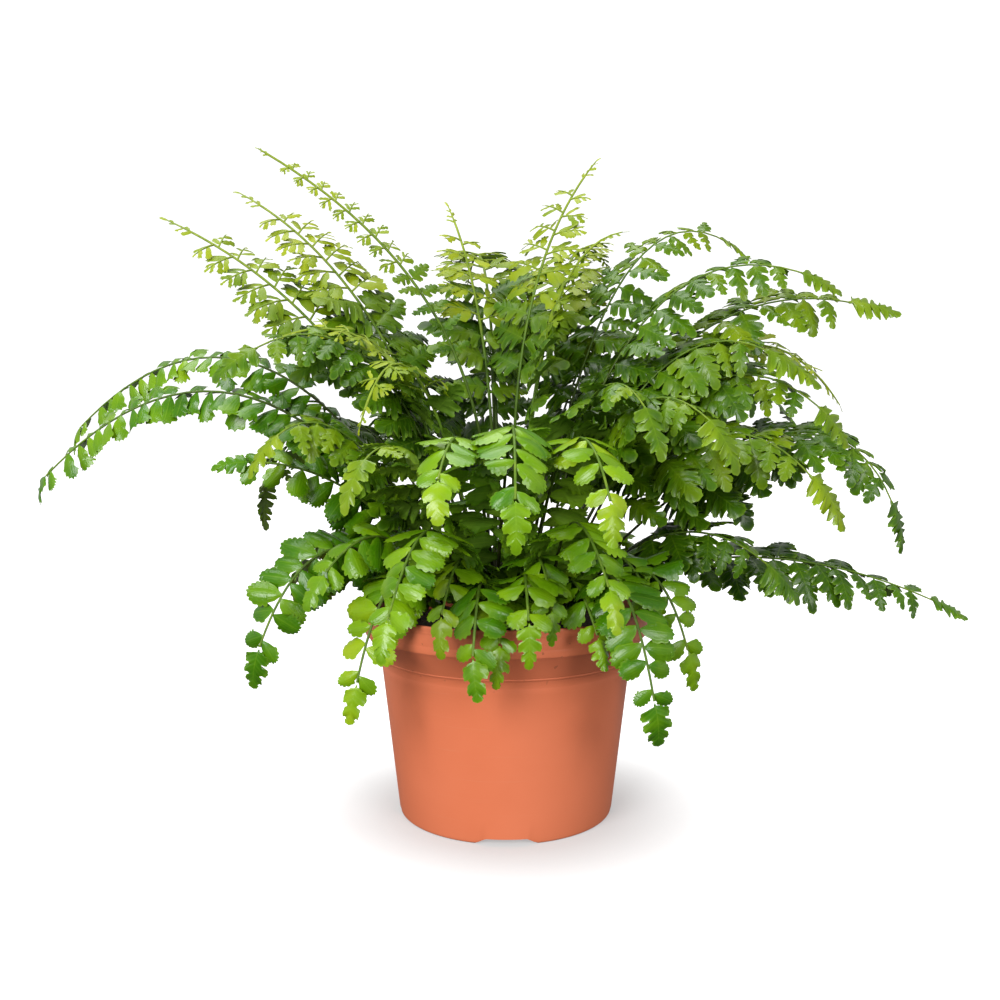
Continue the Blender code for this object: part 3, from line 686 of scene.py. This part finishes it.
class Midrib:
    """A frond's stalk and midrib: a parabola from its foot over its shoulder to its tip."""

    def __init__(self, frond, foot):
        turn = radians(frond.azimuth)
        out = Vector((cos(turn), sin(turn), 0.0))
        shoulder = (out * frond.out + UP * frond.crest) * MM
        tip = (out * frond.reach + UP * frond.tip) * MM
        t = SHOULDER_AT
        pull = (shoulder - foot * (1.0 - t) ** 2 - tip * t**2) / (2.0 * t * (1.0 - t))
        self.across = Vector((out.y, -out.x, 0.0))
        self.foot = foot
        self.roll = radians(frond.roll)
        shares = [i / CURVE_SAMPLES for i in range(CURVE_SAMPLES + 1)]
        self.points = [foot * (1.0 - s) ** 2 + pull * (2.0 * s * (1.0 - s)) + tip * s**2 for s in shares]
        self.lengths = [0.0]
        for a, b in zip(self.points, self.points[1:]):
            self.lengths.append(self.lengths[-1] + (b - a).length)
        self.length = self.lengths[-1]

    def at(self, share):
        """The point, the forward direction, the right and the upper side at a share of the length."""
        goal = share * self.length
        i = 0
        while i < CURVE_SAMPLES - 1 and self.lengths[i + 1] < goal:
            i += 1
        part = (goal - self.lengths[i]) / (self.lengths[i + 1] - self.lengths[i])
        point = self.points[i].lerp(self.points[i + 1], part)
        before = self.points[max(i - 1, 0)]
        after = self.points[min(i + 2, CURVE_SAMPLES)]
        forward = (after - before).normalized()
        side = (self.across - forward * self.across.dot(forward)).normalized()
        side = Matrix.Rotation(self.roll * min(1.0, 2.0 * share), 3, forward) @ side
        return point, forward, side, side.cross(forward)


class Pinna:
    """A leaflet-bearing branch of a frond: a drooping curve with a frame that follows it."""

    def __init__(self, midrib, share, hand, length, habit, lift):
        point, forward, side, up = midrib.at(share)
        lean = radians(LEAN)
        ahead = side * (hand * cos(lean)) + forward * sin(lean)
        turned = Matrix.Rotation(radians(habit.pitch + lift) * hand, 3, -forward)
        self.root = point
        self.hand = hand
        self.length = length
        self.droop = habit.droop
        self.ahead = turned @ ahead
        level = UP - self.ahead * self.ahead.z
        self.up = (turned @ up).lerp(level.normalized(), habit.level).normalized()

    def at(self, share):
        """The point, the forward and the upper direction at a share of the pinna's length."""
        along = share * self.length
        point = self.root + self.ahead * along - self.up * (0.5 * self.droop * self.length * share**2)
        slope = self.droop * share
        return point, (self.ahead - self.up * slope).normalized(), (self.up + self.ahead * slope).normalized()


def grow_stalk(foliage, frond, midrib, end_share):
    """A frond's stalk and midrib, from in the soil to this share of its length."""
    power, last = STALK_TAPERS[frond.kind]
    first = 0.9 * STALK_HALF
    path = [midrib.foot - UP * (STALK_DEPTH * MM), midrib.foot]
    ups = [midrib.at(0.02)[3]] * 2
    radii = [first * MM] * 2
    for share in np.linspace(0.0, end_share, STALK_RINGS)[1:]:
        point, _, _, up = midrib.at(share)
        path.append(point)
        ups.append(up)
        radii.append((first + (last - first) * share**power) * MM)
    foliage.stalk(path, radii, STALK_SIDES, STALK_TONES[frond.kind], STALK_FLAT, ups)


# The forked segments of a young pinna: how far apart they are in mm, how far they spread in degrees, how long
# they are as a share of the pinna and in mm beyond that, where the first and last pairs are, how long the one
# at its tip is, how much less they spread and reach towards it, and how much further out the second of a pair
# is, for the space to the next pair
FORK_SPACING = 4.6
FORK_SPREAD = 44.0
FORK_REACH = 0.5
FORK_LEAST = 1.5
FORK_FIRST = 0.16
FORK_LAST = 0.8
FORK_TIP = 0.24
FORK_CLOSING = 0.4
FORK_SHORTENING = 0.6
FORK_STAGGER = 0.35
# The stalk of a young pinna: its radii, and where along it they are
TWIG_RADII = (0.6 * MM, 0.52 * MM, 0.44 * MM, 0.32 * MM)
TWIG_SHARES = (0.0, 0.35, 0.7, 1.05)
TWIG_SIDES = 5


def grow_forks(foliage, pinna, tone, spread=1.0):
    """A young pinna: a thin stalk with pairs of forked segments, which lean forward more and more. spread
    is how long they are, with 1 for those of a pinna."""
    room = FORK_LAST - FORK_FIRST
    pairs = max(2, round(room * pinna.length / (FORK_SPACING * MM)))
    stalk = [pinna.at(FORK_LAST * share)[0] for share in TWIG_SHARES]
    foliage.stalk(stalk, TWIG_RADII, TWIG_SIDES, (0.5 + 0.4 * tone,) * 2)
    for j in range(pairs):
        share = FORK_FIRST + room * j / pairs
        for hand in (1.0, -1.0):
            point, ahead, up = pinna.at(share + FORK_STAGGER * room / pairs * (hand * pinna.hand > 0.0))
            side = ahead.cross(up)
            angle = radians(FORK_SPREAD * (1.0 - FORK_CLOSING * j / pairs))
            out = ahead * cos(angle) + side * (hand * sin(angle))
            reach = spread * (FORK_REACH * pinna.length + FORK_LEAST * MM)
            reach *= 1.0 - FORK_SHORTENING * j / pairs
            foliage.put("fork", point, out, up, reach, tone, sag=0.5, cup=0.6, wobble=0.9, hand=hand)
    last = FORK_TIP * pinna.length
    foliage.put("fork", *pinna.at(FORK_LAST), last, tone + END_TONE, sag=0.3, cup=0.9, wobble=0.6)


def blade_family(style, length):
    """The family of blades of this style whose lobes are about LOBE_LENGTH long, at this length."""
    return f"{style}_{min(LOBE_COUNTS[-1], max(LOBE_COUNTS[0], round(length / LOBE_LENGTH)))}"


class Tip:
    """The end of a young frond, which grows as a pinna does, along the midrib."""

    hand = 1.0

    def __init__(self, midrib, share, length):
        self.midrib = midrib
        self.share = share
        self.length = length

    def at(self, share):
        share = self.share + share * self.length / self.midrib.length
        point, forward, _, up = self.midrib.at(min(0.999, share))
        return point, forward, up


# In the end of a frond of leaflets: where its lobed leaf starts, and how long its last pair of leaflets is
TIP_FROM = 0.26
LAST_PAIR = 0.46
# The end of a frond or pinna is lighter by this much
END_TONE = 0.04


def grow_last_pair(foliage, midrib, share, length, tone):
    """The small pair of leaflets just below a frond's tip, which lean forward."""
    size = LAST_PAIR * length
    for hand, along in ((1.0, 0.02), (-1.0, 0.1)):
        point, forward, side, up = midrib.at(share + along * length / midrib.length)
        ahead = (side * hand + forward * 0.8).normalized()
        foliage.put("leaflet", point, ahead, up, size, tone, sag=0.5, cup=1.0, wobble=0.7, hand=-hand)


def grow_pinna(foliage, frond, pinna, style, along, tone):
    """One pinna: a leaflet, the forked segments of a young frond's, or else a lobed blade."""
    place = pinna.root, pinna.ahead, pinna.up, pinna.length
    if frond.kind == "leaflet":
        family = "small" if frond.pinna <= SLIM_PINNA else "leaflet"
        foliage.put(family, *place, tone, sag=HABITS[frond.kind].droop, cup=1.3, hand=-pinna.hand)
    elif frond.kind == "young" and along > BASAL:
        grow_forks(foliage, pinna, tone)
    else:
        tone -= BASAL_DARKER if frond.kind == "young" else 0.0
        family = blade_family(style, pinna.length)
        foliage.put(family, *place, tone, sag=0.6, cup=0.8, hand=-pinna.hand)


def grow_end(foliage, frond, midrib, style, end, length, tone):
    """The end of a frond from this share of its length: forked segments, or else one lobed leaf."""
    if frond.kind == "young":
        grow_forks(foliage, Tip(midrib, end, length * 0.98), tone + END_TONE, 0.5)
        return
    family = blade_family(style, length)
    if frond.kind == "leaflet":
        grow_last_pair(foliage, midrib, end, length, tone)
        family = "tip"
        end += TIP_FROM * length / midrib.length
        length *= 1.0 - TIP_FROM
    point, forward, _, up = midrib.at(end)
    foliage.put(family, point, forward, up, length, tone + END_TONE, sag=0.6, cup=0.8, wobble=0.5)


def grow_frond(number, frond, foot):
    """The mesh of one frond: its stalk and midrib, its pairs of pinnae and its end."""
    rng = np.random.default_rng(SEED + number)
    habit = HABITS[frond.kind]
    midrib = Midrib(frond, foot)
    foliage = Foliage(rng)
    slim = frond.pinna <= SLIM_PINNA
    end_length = habit.end * frond.pinna * MM
    end = 1.0 - end_length / midrib.length
    grow_stalk(foliage, frond, midrib, end + 0.004 + 0.8 * TIP_FROM * end_length / midrib.length)
    last_pair = end - LAST_PAIR_TO_END * MM / midrib.length
    room = midrib.length * (last_pair - habit.start)
    pairs = max(frond.pairs, round(room / (habit.spacing * MM * (SLIM_SPACING if slim else 1.0))) + 1)
    stagger = STAGGER * (room / (pairs - 1)) / midrib.length
    frond_tone = TONES[frond.kind] + rng.normal(0.0, FROND_TONE)
    if slim and frond.kind == "leaflet":
        frond_tone -= SLIM_DARKER
    style = "mature" if frond.kind == "mature" and number % 5 in (1, 4) else "broad"
    for k in range(pairs):
        along = k / (pairs - 1)
        base = habit.start + (last_pair - habit.start) * along**CLOSING
        length = frond.pinna * MM * (1.0 - TAPERS[frond.kind] * along**SHORTENING)
        if k == 0:
            length *= FIRST_PAIR
        for hand, share in ((1.0, base), (-1.0, base + stagger)):
            lift = rng.normal(0.0, LIFTS)
            pinna = Pinna(midrib, share, hand, length * rng.uniform(*LENGTHS), habit, lift)
            tone = frond_tone + TIP_TONE * (along**1.5 - 0.5)
            # Painted light from above: the higher the pinna stands, the lighter its tone
            tone += PAINTED_TOP_LIGHT * min(1.0, max(0.0, (pinna.root.z - LOW) / (HIGH - LOW)))
            grow_pinna(foliage, frond, pinna, style, along, tone)
    grow_end(foliage, frond, midrib, style, end, end_length, tone)
    return foliage.joined()


def make_fronds():
    """One piece for each frond, in place of its solid."""
    feet = ring_feet()
    stalk = stalk_material()
    looks = {
        "mature": leaf_material("mature_leaf", 0.3, 0.16, 0.15, OLIVES),
        "young": leaf_material("young_leaf", 0.42, 0.26, 0.1, OLIVES),
        "leaflet": leaf_material("leaflet_leaf", 0.25, 0.18, 0.3, GREENS),
    }
    for number, frond in enumerate(FRONDS):
        node = f"frond_{number + 1:02d}"
        points, faces, leaf, under, slots = grow_frond(number, frond, feet[number])
        piece = make_piece(f"{node}_leaves", points, faces, (looks[frond.kind], stalk), slots, leaf, under)
        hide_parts(node)


# Pot


POT_COLUMNS = 180
RIM_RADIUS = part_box("pot")[1].x
POT_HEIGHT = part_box("pot")[1].z
SEAM_HEIGHT = 82.0 * MM
SEAM_RADIUS = 65.0 * MM
BASE_RADIUS = 55.4 * MM
BAND = 14.0 * MM
BAND_TAPER = 2.0 * MM
WALL = 1.6 * MM
FLOOR_BOTTOM = 4.0 * MM
# The roundings of the foot, the seam, the band's lower edge and the lip
FOOT_ROUND = 1.5 * MM
SEAM_ROUND = 0.8 * MM
BAND_ROUND = 1.0 * MM
LIP_ROUND = 0.8 * MM
# Where the band has fine lines, as shares of it from the top, and half the width of one
BAND_LINES = (0.72, 0.3, 0.2)
LINE_HALF = 0.35 * MM
NOTCH_HEIGHT = 3.0 * MM
NOTCH_HALF_WIDTHS = (15.5 * MM, 10.0 * MM)
DRAIN_HOLES = 4
DRAIN_RING = 34.0 * MM
DRAIN_RADIUS = 5.0 * MM
DRAIN_SIDES = 24


def arc(center, radius, first, last, steps):
    """Points of a round edge, from one angle to another, in degrees."""
    turns = [radians(first + (last - first) * k / steps) for k in range(steps + 1)]
    return [(center[0] + radius * cos(turn), center[1] + radius * sin(turn)) for turn in turns]


def fine_line(radius, height, depth=0.06 * MM):
    """A shallow moulded groove round the pot at this height."""
    return [(radius, height - LINE_HALF), (radius - depth, height), (radius, height + LINE_HALF)]


def pot_profile():
    """Half of the pot's section, from the floor's underside out, up the outside and down the inside."""
    body_slope = (SEAM_RADIUS - BASE_RADIUS) / SEAM_HEIGHT
    band_foot = RIM_RADIUS - BAND_TAPER
    band_bottom = POT_HEIGHT - BAND

    def body(height):
        return BASE_RADIUS + body_slope * height

    def band(height):
        return band_foot + BAND_TAPER / BAND * (height - band_bottom)

    profile = [(0.0, FLOOR_BOTTOM), (BASE_RADIUS - 4.2 * MM, FLOOR_BOTTOM), (BASE_RADIUS - 3.6 * MM, 0.0)]
    profile += arc((BASE_RADIUS - FOOT_ROUND, FOOT_ROUND), FOOT_ROUND, -90.0, -5.0, 5)
    profile += [(body(height), height) for height in np.linspace(3.0 * MM, SEAM_HEIGHT - 7.0 * MM, 9)]
    profile += fine_line(body(SEAM_HEIGHT - 4.0 * MM), SEAM_HEIGHT - 4.0 * MM, 0.04 * MM)
    profile += [(SEAM_RADIUS - 0.15 * MM, SEAM_HEIGHT - 0.5 * MM), (SEAM_RADIUS, SEAM_HEIGHT - 0.3 * MM)]
    profile += arc((SEAM_RADIUS - 0.2 * MM, SEAM_HEIGHT + 0.7 * MM), SEAM_ROUND, -45.0, 20.0, 4)
    profile.append((SEAM_RADIUS + 1.6 * MM, SEAM_HEIGHT + 2.6 * MM))
    profile.append((band_foot - 1.6 * MM, band_bottom - 1.2 * MM))
    profile += arc((band_foot - BAND_ROUND, band_bottom + 0.9 * MM), BAND_ROUND, -50.0, 0.0, 4)
    for share in BAND_LINES:
        height = POT_HEIGHT - share * BAND
        profile += fine_line(band(height), height)
    profile += arc((RIM_RADIUS - LIP_ROUND, POT_HEIGHT - LIP_ROUND), LIP_ROUND, 0.0, 180.0, 8)
    profile += [
        (band_foot - WALL, band_bottom + 1.0 * MM),
        (SEAM_RADIUS + 0.6 * MM - WALL, SEAM_HEIGHT + 2.0 * MM),
        (BASE_RADIUS + 0.4 * MM - WALL, FLOOR_BOTTOM + WALL),
        (0.0, FLOOR_BOTTOM + WALL),
    ]
    return profile


def lathe(profile, columns):
    """Points and triangles of a profile of (radius, height) spun about the axis. It starts and ends on it."""
    turns = np.arange(columns) * tau / columns
    radii, heights = np.array(profile[1:-1]).T[..., None]
    rings = np.stack(np.broadcast_arrays(radii * np.cos(turns), radii * np.sin(turns), heights), axis=2)
    ends = (0.0, 0.0, profile[0][1]), (0.0, 0.0, profile[-1][1])
    return np.vstack([rings.reshape(-1, 3), *ends]), ring_faces(len(rings), columns)


def notch_rise(points):
    """How high the foot ring is cut away above each point: four notches, at the front, back and sides."""
    turn = np.arctan2(points[:, 1], points[:, 0])
    off = (turn + pi / 4.0) % (pi / 2.0) - pi / 4.0
    away = np.hypot(points[:, 0], points[:, 1]) * np.abs(np.sin(off))
    bottom, top = NOTCH_HALF_WIDTHS
    return NOTCH_HEIGHT * np.clip((bottom - away) / (bottom - top), 0.0, 1.0)


def drain_cutter():
    """The rods that cut the drain holes, as one object."""
    rise = UP * FLOOR_BOTTOM
    points, faces = [], []
    for k in range(DRAIN_HOLES):
        turn = tau * (k + 0.5) / DRAIN_HOLES
        middle = Vector((DRAIN_RING * cos(turn), DRAIN_RING * sin(turn), FLOOR_BOTTOM))
        path = [middle - rise, middle + rise]
        spots, rod = tube(path, [DRAIN_RADIUS] * 2, DRAIN_SIDES, 1.0, [(1.0, 0.0, 0.0)] * 2)
        faces.append(rod + len(spots) * k)
        points.append(spots)
    mesh = bpy.data.meshes.new("drain_cutter")
    mesh.from_pydata(np.vstack(points).tolist(), [], np.vstack(faces).tolist())
    return add_object("drain_cutter", mesh)


def make_pot():
    """The pot, turned, with four notches cut in its foot ring and drain holes in its floor."""
    points, faces = lathe(pot_profile(), POT_COLUMNS)
    foot = (points[:, 2] < NOTCH_HEIGHT) & (np.hypot(points[:, 0], points[:, 1]) > BASE_RADIUS - 4.0 * MM)
    rise = notch_rise(points)
    points[foot, 2] = np.maximum(points[foot, 2], rise[foot])
    pot = make_piece("nursery_pot", points, faces, (pot_material(),))
    cutter = drain_cutter()
    boolean = pot.modifiers.new("drain_holes", "BOOLEAN")
    boolean.object = cutter
    graph = bpy.context.evaluated_depsgraph_get()
    mesh = bpy.data.meshes.new_from_object(pot.evaluated_get(graph))
    pot.modifiers.clear()
    pot.data = mesh
    bpy.data.objects.remove(cutter, do_unlink=True)
    mesh.shade_smooth()
    mesh.set_sharp_from_angle(angle=radians(40))
    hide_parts("pot")


# Soil and rhizome


SOIL_COLUMNS = 90
# How much lower the soil is at the wall, and where its slope starts and how wide it is
SOIL_FALL = 5.0 * MM
SLOPE_FROM = 40.0 * MM
SLOPE_WIDTH = 30.0 * MM
CRUMBS = 420


def soil_height(x, y):
    """The soil's surface: level in the middle, lower at the wall, and lumpy."""
    slope = min(1.0, max(0.0, (hypot(x, y) - SLOPE_FROM) / SLOPE_WIDTH))
    lumps = sin(260.0 * x + 1.0) * sin(310.0 * y) + 0.6 * sin(700.0 * x + 550.0 * y)
    return SOIL_TOP - SOIL_FALL * slope - 0.9 * MM + 0.55 * MM * lumps


def crumb(rng, top_radius):
    """The points of a crumb that lies somewhere on the soil."""
    radius = top_radius * 0.95 * sqrt(rng.uniform(0.0, 1.0))
    turn = rng.uniform(0.0, tau)
    x, y = radius * cos(turn), radius * sin(turn)
    points = CRUMB_POINTS * rng.uniform(0.6, 1.7, 3) * rng.uniform(0.5, 1.2) * MM
    points *= rng.uniform(0.75, 1.2, (len(points), 1))
    points = points @ np.array(Matrix.Rotation(rng.uniform(0.0, 6.0), 3, "Z")).T
    return points + (x, y, min(soil_height(x, y), SOIL_TOP - 1.0 * MM))


# A rough ball, with rings of six points
CRUMB_POINTS, CRUMB_FACES = lathe([(0.0, -1.0), (0.75, -0.7), (1.0, 0.1), (0.7, 0.75), (0.0, 1.0)], 6)


def make_soil():
    """Potting soil to below the rim, with crumbs of peat and bark on it."""
    low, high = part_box("soil")
    profile = [(0.0, low.z), (BASE_RADIUS - 2.0 * MM, low.z)]
    profile += [(high.x - 6.0 * MM, SEAM_HEIGHT), (high.x, SOIL_TOP - 5.6 * MM)]
    profile += [(high.x * share, SOIL_TOP) for share in np.linspace(0.97, 0.03, 26)]
    profile += [(0.0, SOIL_TOP)]
    points, faces = lathe(profile, SOIL_COLUMNS)
    for point in points:
        if point[2] > SOIL_TOP - 1.0 * MM:
            point[2] = soil_height(point[0], point[1])
    rng = np.random.default_rng(SEED)
    crumbs = [crumb(rng, high.x) for _ in range(CRUMBS)]
    crumb_faces = [CRUMB_FACES + len(points) + k * len(CRUMB_POINTS) for k in range(CRUMBS)]
    points = np.vstack([points, *crumbs])
    soil = make_piece("peat", points, np.vstack([faces, *crumb_faces]), (soil_material(),))
    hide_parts("soil")


def dress_rhizome():
    """Gives the rhizome's own solid its look."""
    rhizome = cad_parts["rhizome"]
    rhizome.data.materials.clear()
    rhizome.data.materials.append(rootstock_material())


# Room


# How light the room is in each direction, from straight down at -1 to straight up at 1
ROOM_LIGHT = ((-0.4, 0.1), (-0.05, 0.46), (0.4, 0.47), (0.8, 0.25))
ROOM_STRENGTH = 1.05
# How much the floor glows at these distances from the plant, so that only the shadow by the pot shows
FLOOR_GLOW = ((0.06, (0.4,) * 3), (0.11, (0.8,) * 3), (0.19, (1.0,) * 3))
ROOM_HALF = 4.0
WALL_TOP = 4.0
# Soft lamps: their places, sizes and watts, and where they look
LAMPS = {"key": ((-0.75, -1.25, 0.72), 0.8, 22.0), "fill": ((0.8, -1.2, 0.6), 0.6, 8.0)}
LAMP_TARGET = Vector((0.0, 0.0, 0.16))
CAMERA_PLACE = (-0.003, -0.55, 0.203)
CAMERA_DOWN = 4.3
LENS = 38.27


def floor_material():
    """A pale matt floor that also glows, more so further out."""
    look = Look("floor")
    away = look.node("VectorMath", {0: look.place()}, "Value", operation="LENGTH")
    return look.shade(
        Base_Color=(0.4, 0.4, 0.4, 1.0),
        Roughness=0.6,
        Specular_IOR_Level=0.0,
        Emission_Color=(1.0, 1.0, 1.0, 1.0),
        Emission_Strength=look.ramp(away, FLOOR_GLOW),
    )


def make_floor():
    """A floor that curves up into a backdrop all round, and is open above."""
    wall = ROOM_HALF + 0.5
    profile = [(0.0, 0.0), (ROOM_HALF, 0.0), (wall - 0.2, 0.1), (wall, WALL_TOP), (0.0, WALL_TOP)]
    points, faces = lathe(profile, 48)
    top = len(points) - 1
    mesh = bpy.data.meshes.new("floor")
    mesh.from_pydata(points.tolist(), [], faces[(faces != top).all(axis=1)].tolist())
    mesh.materials.append(floor_material())
    floor = add_object("floor", mesh)
    for ray in ("visible_diffuse", "visible_glossy", "visible_transmission", "visible_shadow"):
        setattr(floor, ray, False)


def make_lights():
    """A soft sky and sun, and two soft lamps in front that look at the plant."""
    scene = bpy.context.scene
    scene.world = studio_world()
    top = bpy.data.lights.new("ceiling", "SUN")
    top.energy = 2.2
    top.angle = radians(50.0)
    add_object("ceiling", top).rotation_euler = (radians(-10.0), radians(-8.0), 0.0)
    for name, (place, size, power) in LAMPS.items():
        light = bpy.data.lights.new(name, "AREA")
        light.size = size
        light.energy = power
        lamp = add_object(name, light)
        lamp.location = place
        lamp.rotation_euler = (LAMP_TARGET - Vector(place)).to_track_quat("-Z", "Y").to_euler()
    scene.view_settings.view_transform = "Standard"


def studio_world():
    """Light from pale walls all round, with less from above and little from below."""
    world = bpy.data.worlds.new("studio")
    nodes = Nodes(world)
    rise = nodes.xyz(nodes.node("TexCoord", {}, "Generated"))[2]
    height = nodes.node("MapRange", {0: rise, "From Min": -1.0})
    light = nodes.ramp(height, [((place + 1.0) / 2.0, (level,) * 3) for place, level in ROOM_LIGHT])
    nodes.feed(nodes.tree.nodes["Background"], {"Strength": ROOM_STRENGTH, "Color": light})
    return world


def make_camera():
    """A camera a little above the plant's middle, that looks slightly down at it."""
    lens = bpy.data.cameras.new("camera")
    lens.lens = LENS
    lens.sensor_width = 36.0
    lens.clip_start = 0.01
    camera = add_object("camera", lens)
    camera.location = CAMERA_PLACE
    camera.rotation_euler = (radians(90.0 - CAMERA_DOWN), 0.0, 0.0)
    bpy.context.scene.camera = camera


make_pot()
make_soil()
dress_rhizome()
make_fronds()
make_floor()
make_lights()
make_camera()
